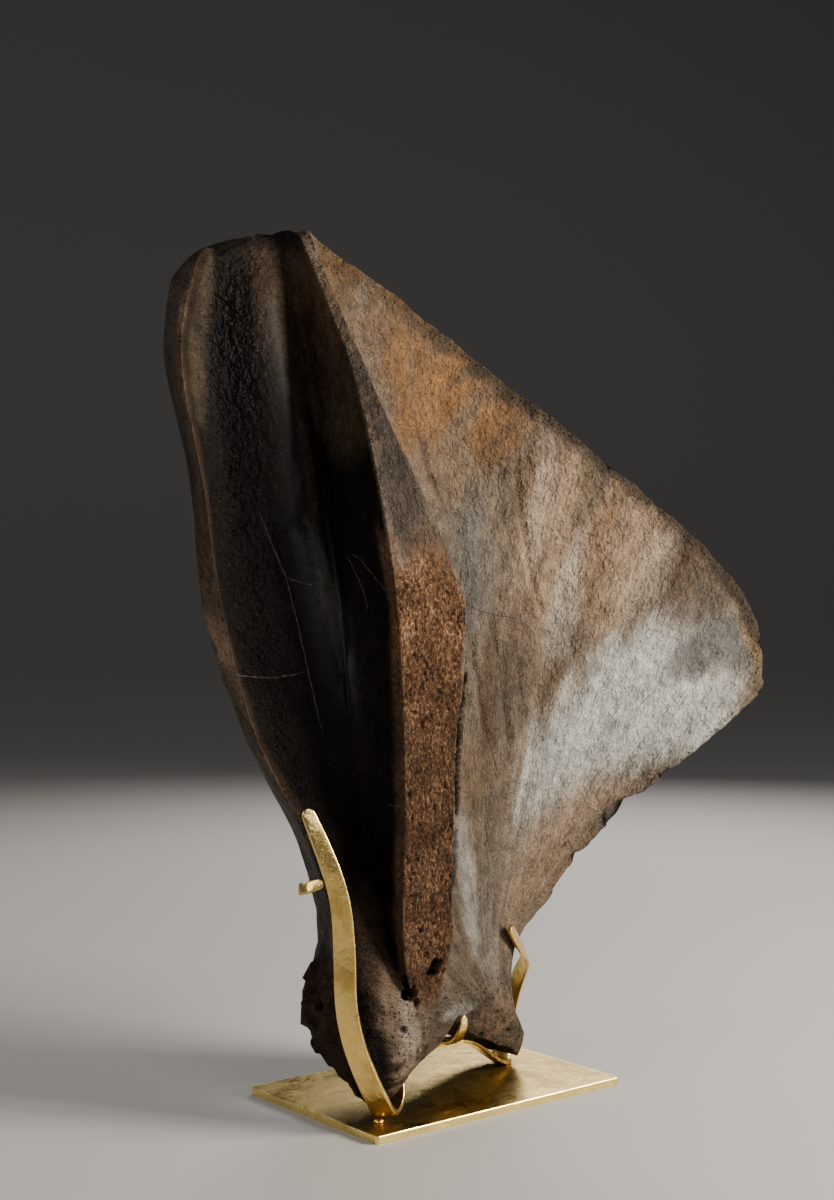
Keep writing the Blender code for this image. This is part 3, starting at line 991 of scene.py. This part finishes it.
def boneFinish():
    material, start, shader = newFinish("fossilBone", {
        "Specular IOR Level": boneLook["specular"], "Coat Roughness": boneLook["coatRoughness"],
        "Coat IOR": 1.45})
    place = start.places()
    bases = {"place": place, "fibre": start.attribute("fibre", "Vector")}
    made = {name: bases[base].stretched(stretch).noise(size * mm, *rest)
            for name, (base, stretch, size, *rest) in bonePatterns.items()}
    spongy, sheen, grain, rough, gloss = (start.attribute(name) for name in boneMasks)
    folds = made["folds"] - 0.5
    folds = folds.maths("ABSOLUTE", folds).ramp(0.0, 0.22)
    flakes = made["flakes"].ramp(0.35, 0.75)
    pits = 1 - place.cells(boneLook["pitSize"]).ramp(0.16, 0.30)
    pits = pits * (rough + made["pitted"]).ramp(0.55, 0.95)
    pores = 1 - place.cells(boneLook["poreSize"]).ramp(0.10, 0.30)
    pores = pores * (0.25 + rough)
    # sound bone: the painted tone, made lighter and darker
    share = boneLook["shade"]
    shade = share["ground"] + share["mottle"] * made["mottle"].ramp(0.3, 0.7)
    for name in ("streaks", "speckle"):
        shade = shade + share[name] * (made[name] - 0.5)
    shade = shade + share["flakes"] * flakes + share["cloud"] * made["cloud"].ramp(0.32, 0.68)
    shade = shade.maths("MAXIMUM", shade, share["least"]) * share["gain"]
    shade = shade * (1 - share["folds"] + share["folds"] * folds)
    shade = shade * (1 - share["skin"] / 2 + share["skin"] * made["skin"])
    # painted shade in the pits, pores, hollows and clefts
    for name, wire in (("pits", pits), ("pores", pores), ("grain", grain)):
        shade = shade * (1 - boneLook["darkening"][name] * wire)
    colour = start.attribute("tone", "Color").scaled(shade)
    # broken spongy bone
    crumbs = made["crumbs"] + 0.12 * (made["crumbClouds"].ramp(0.3, 0.7) - 0.5)
    low, more = boneLook["brokenLight"]
    broken = start.node("ShaderNodeValToRGB", {"stops": boneLook["brokenStops"]}, {"Fac": crumbs})
    broken = broken.scaled(low + more * place.part("Z").ramp(*boneLook["brokenHeights"]))
    # the broken bone's pits go near black as painted shade
    broken = (0.9 * grain.ramp(0.35, 0.9)).mix(broken, boneLook["brokenPit"])
    colour = spongy.mix(colour, broken)
    dull = boneLook["roughness"]
    roughness = dull["ground"] + dull["spongy"] * spongy + dull["rough"] * rough
    roughness = roughness + dull["mottle"] * (made["mottle"] - 0.5)
    roughness = roughness - dull["sheen"] * sheen - dull["gloss"] * gloss
    sound = 1 - spongy
    heights = {"folds": folds * sound, "skin": made["skin"] * sound, "flakes": flakes * sound,
               "speckle": made["speckle"] * (0.8 + rough), "crumbs": crumbs * spongy,
               "pits": 1 - pits, "pores": 1 - pores}
    layers = [(heights[name], depth * mm) for name, depth in boneLook["bumps"].items()]
    feed(start, shader, {"Base Color": colour, "Roughness": roughness,
                         "Normal": bumpOf(start, layers),
                         "Coat Weight": sheen * sound * (1 - rough)})
    return material


def softened(mesh, points):
    # evens out the front field, where the flat faces of the solid would show
    x, _ = atHeight(points, rimRows)
    soft = outerMask(pointsOf(mesh, "normal")) * (1 - over(crestShare(points), "softShare"))
    soft = soft * over(points[:, 0] - x, "besideRim") * over(points[:, 2], "softFoot")
    return relaxed(mesh, points, bone["softness"] * soft, bone["softSteps"])


def moveTo(mesh, points):
    mesh.vertices.foreach_set("co", points.ravel())
    mesh.update()


def makeBone():
    net = joinedSolid("shoulder_blade")
    creaseEdges(net, bone["creaseFrom"], bone["crease"])
    start = settled("boneStart", net, 1)
    smooth = settled("boneForm", net, 2)
    net.free()
    smooth.calc_loop_triangles()
    corners = [tuple(triangle.vertices) for triangle in smooth.loop_triangles]
    reference = BVHTree.FromPolygons([v.co for v in smooth.vertices], corners)
    mesh = refined(start, reference)
    points = softened(mesh, pointsOf(mesh))
    moveTo(mesh, points)
    normals = pointsOf(mesh, "normal")
    shaped, masks = shapeBone(points, normals, reference)
    shaped = bitten(shaped, reference)
    low, high = (np.array(corner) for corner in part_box("shoulder_blade"))
    moveTo(mesh, np.clip(shaped, low, high))
    colour = paintBone(points, normals, reference, masks)
    addAttribute(mesh, "tone", "FLOAT_COLOR", np.column_stack([colour, np.ones(len(colour))]))
    addAttribute(mesh, "fibre", "FLOAT_VECTOR", fibres(points))
    for name in boneMasks:
        addAttribute(mesh, name, "FLOAT", masks[name])
    mesh.materials.append(boneFinish())
    mesh.shade_smooth()
    piece = linked("fossilShoulderBlade", mesh)
    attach(piece, "root")
    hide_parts("shoulder_blade")
    print("bone:", len(mesh.polygons), "faces")


crackLook = {
    "spacing": 1.5 * mm,
    "wander": (90.0, 3.0, 4.7),  # scale, detail and seed of its noise
    "taper": 0.35,  # share of the rise towards the middle at which the width is full
    "sides": 4,
    "dirt": (0.02, 0.015, 0.012, 1),
    "dirtSize": 4 * mm,
}
# Colour and roughness of each kind; the dark cracks are painted shade in open cracks.
crackFinishes = {"paleCracks": ("palePatina", (0.20, 0.18, 0.16, 1), 0.5),
                 "darkCracks": ("paintedCrackShade", (0.012, 0.009, 0.007, 1), 0.7)}
# Fine cracks: half width and wander in mm, then places along each.
cracks = {
    "paleCracks": (0.34, 2.4, (
        ((256, 505), (270, 540), (286, 578), (299, 629), (311, 684), (325, 741)),
        ((233, 672), (252, 677), (272, 678), (292, 675), (309, 670)),
        ((350, 553), (361, 560), (377, 580), (396, 603)),
        ((345, 553), (359, 580), (368, 610)),
        ((286, 578), (310, 585), (330, 572)),
        ((387, 805), (398, 806), (405, 804)),
        ((418, 432), (426, 462), (428, 480)),
    )),
    # dark ribbons of painted shade along open cracks
    "darkCracks": (0.42, 2.0, (
        ((468, 605), (480, 611), (494, 615), (519, 619)),
        ((661, 587), (664, 580), (668, 576)),
        ((634, 714), (641, 704), (650, 694)),
        ((488, 742), (494, 756), (497, 772)),
        ((500, 470), (498, 486), (502, 500)),
    )),
}


def crackTree():
    # a line of points becomes a thin wandering ridge that hugs the bone
    tree = bpy.data.node_groups.new("hairCracks", "GeometryNodeTree")
    inputs = {"Lines": "Geometry", "Bone": "Object", "Spacing": "Float", "Wander": "Float",
              "Half Width": "Float", "Finish": "Material"}

    def socket(name, way, kind):
        return tree.interface.new_socket(name=name, in_out=way, socket_type="NodeSocket" + kind)

    sockets = {name: socket(name, "INPUT", kind) for name, kind in inputs.items()}
    socket("Cracks", "OUTPUT", "Geometry")
    start = Wire(tree)
    given = {name: start.node("NodeGroupInput", {}, {}, name) for name in inputs}

    def geometry(kind, inputs, settings=None, output=0):
        return start.node("GeometryNode" + kind, settings, inputs, output)

    surface = geometry("ObjectInfo", {"Object": given["Bone"]}, None, "Geometry")
    line = geometry("MeshToCurve", {"Mesh": given["Lines"]})
    line = geometry("ResampleCurve", {"Curve": line, "Length": given["Spacing"]},
                    {"mode": "LENGTH"})
    scale, detail, seed = crackLook["wander"]
    drift = start.node("ShaderNodeTexNoise", {"noise_dimensions": "4D"},
                       {"Scale": scale, "Detail": detail, "W": seed}, "Color")
    drift = start.vectors("SUBTRACT", {0: drift, 1: (0.5, 0.5, 0.5)})
    line = geometry("SetPosition", {"Geometry": line, "Offset": drift.scaled(given["Wander"])})
    touch = geometry("Proximity", {0: surface}, {"target_element": "FACES"})
    line = geometry("SetPosition", {"Geometry": line, "Position": touch})
    along = geometry("SplineParameter", {}, None, "Factor")
    taper = (along * (1 - along) * 4).ramp(0, crackLook["taper"]) * given["Half Width"]
    ring = geometry("CurvePrimitiveCircle", {"Resolution": crackLook["sides"], "Radius": 1.0})
    tube = geometry("CurveToMesh", {"Curve": line, "Profile Curve": ring, "Scale": taper,
                                    "Fill Caps": True})
    tube = geometry("RealizeInstances", {"Geometry": tube})
    tube = geometry("SetMaterial", {"Geometry": tube, "Material": given["Finish"]})
    end = tree.nodes.new("NodeGroupOutput")
    tree.links.new(tube.socket, end.inputs[0])
    return tree, sockets


def crackFinish(name, colour, roughness):
    material, start, shader = newFinish(name, {"Specular IOR Level": 0.3})
    tone = start.places().noise(crackLook["dirtSize"], 3, 0.6)
    feed(start, shader, {"Base Color": tone.ramp(0.3, 0.7).mix(crackLook["dirt"], colour),
                         "Roughness": roughness + 0.2 * tone})
    return material


def makeCracks():
    carrier = bpy.data.objects["fossilShoulderBlade"]
    surface = BVHTree.FromObject(carrier, bpy.context.evaluated_depsgraph_get())
    tree, sockets = crackTree()
    for name, (half, wander, paths) in cracks.items():
        points, edges = [], []
        for path in paths:
            first = len(points)
            points += [tuple(touchBone(surface, place)) for place in path]
            edges += [(index, index + 1) for index in range(first, len(points) - 1)]
        mesh = bpy.data.meshes.new(name)
        mesh.from_pydata(points, edges, [])
        piece = linked(name, mesh)
        values = {"Bone": carrier, "Spacing": crackLook["spacing"], "Wander": wander * mm,
                  "Half Width": half * mm, "Finish": crackFinish(*crackFinishes[name])}
        nodes = piece.modifiers.new("hairCracks", "NODES")
        nodes.node_group = tree
        for socketName, value in values.items():
            nodes[sockets[socketName].identifier] = value
        made = meshOf(piece)
        piece.modifiers.remove(nodes)
        piece.data = made
        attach(piece, "root")
        print(name, len(made.polygons), "faces")


makeBone()
makeCracks()

# brass stand
brass = {
    "barColour": (0.95, 0.66, 0.22, 1),
    "dullColour": (0.60, 0.38, 0.10, 1),
    "plateColour": (0.52, 0.36, 0.080, 1),
    "plateDark": (0.30, 0.205, 0.06, 1),
    "edgeColour": (1.00, 0.76, 0.27, 1),
    "ripple": (0.12 * mm, 16 * mm, 71),  # height, size, seed
    "wornEdge": (0.4 * mm, 2.6 * mm),
    "barRoughness": {"bright": 0.24, "tarnish": 0.16, "brushed": 0.14},
    "plateRoughness": {"bright": 0.26, "stain": 0.20, "blot": 0.16, "worn": 0.08},
    "barBumps": (1.5 * mm, 0.12 * mm, 0.10 * mm),
    "plateBumps": (1.2 * mm, 0.05 * mm),
}


def barFinish():
    material, start, shader = newFinish("brushedBrass", {"Metallic": 1.0})
    place = start.places()
    cloud = place.noise(34 * mm, 4, 0.6)
    brushed = place.stretched((1, 1, 0.06)).noise(1.6 * mm, 3, 0.6)
    scratch = place.stretched((1, 1, 3.5)).noise(9 * mm, 6, 0.7, 0.8).ramp(0.62, 0.72)
    tarnish = (cloud + 0.25 * (brushed - 0.5)).ramp(0.42, 0.74)
    colour = tarnish.mix(brass["barColour"], brass["dullColour"])
    colour = (0.35 * scratch).mix(colour, brass["edgeColour"])
    dull = brass["barRoughness"]
    roughness = dull["bright"] + dull["tarnish"] * tarnish + dull["brushed"] * (brushed - 0.5)
    normal = bumpOf(start, zip((cloud, brushed, scratch), brass["barBumps"]))
    feed(start, shader, {"Base Color": colour, "Roughness": roughness, "Normal": normal})
    return material


def plateFinish():
    material, start, shader = newFinish("agedBrassPlate", {"Metallic": 1.0})
    place = start.places()
    _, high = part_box("base_plate")  # the plate's middle is at x 0 and y 0
    across, deep = (part.maths("ABSOLUTE", part) for part in (place.part("X"), place.part("Y")))
    toEdge = start.maths("MINIMUM", high.x - across, high.y - deep)
    cloud = place.noise(60 * mm, 6, 0.65, 0.6)
    blot = place.noise(18 * mm, 5, 0.7, 1.2)
    speckle = place.noise(2.5 * mm, 3, 0.7)
    worn = 1 - (toEdge + 1.2 * mm * (speckle - 0.5)).ramp(*brass["wornEdge"])
    stain = (0.6 * cloud + 0.4 * blot + 0.12 * (speckle - 0.5)).ramp(0.38, 0.62)
    colour = stain.mix(brass["plateColour"], brass["plateDark"])
    colour = worn.mix(colour, brass["edgeColour"])
    dull = brass["plateRoughness"]
    roughness = dull["bright"] + dull["stain"] * stain + dull["blot"] * (blot - 0.5)
    roughness = roughness - dull["worn"] * worn
    scratches = place.stretched((0.25, 1, 1)).noise(3 * mm, 4, 0.7, 0.5)
    normal = bumpOf(start, zip((cloud, scratches), brass["plateBumps"]))
    feed(start, shader, {"Base Color": colour, "Roughness": roughness, "Normal": normal})
    return material


def makeBar(node, name, material):
    net = joinedSolid(node)
    mesh = settled(name, net, 2)
    net.free()
    points = pointsOf(mesh)
    normals = pointsOf(mesh, "normal")
    height, size, seed = brass["ripple"]
    points += normals * (height * softNoise(points, size, seed, 2))[:, None]
    moveTo(mesh, points)
    mesh.materials.clear()
    mesh.materials.append(material)
    mesh.shade_smooth()
    piece = linked(name, mesh)
    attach(piece, "root")
    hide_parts(node)


def makeStand():
    barMaterial = barFinish()
    names = {
        "cranial_arm": "frontBar",
        "cranial_prong": "frontFinger",
        "caudal_arm": "rearStrap",
        "caudal_claw": "rimClaw",
        "cranial_weld": "frontBead",
        "caudal_weld": "rearBead",
    }
    for node, name in names.items():
        makeBar(node, name, barMaterial)
    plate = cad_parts["base_plate"]
    for slotPlace in plate.material_slots:
        slotPlace.material = plateFinish()
    print("stand made")


makeStand()
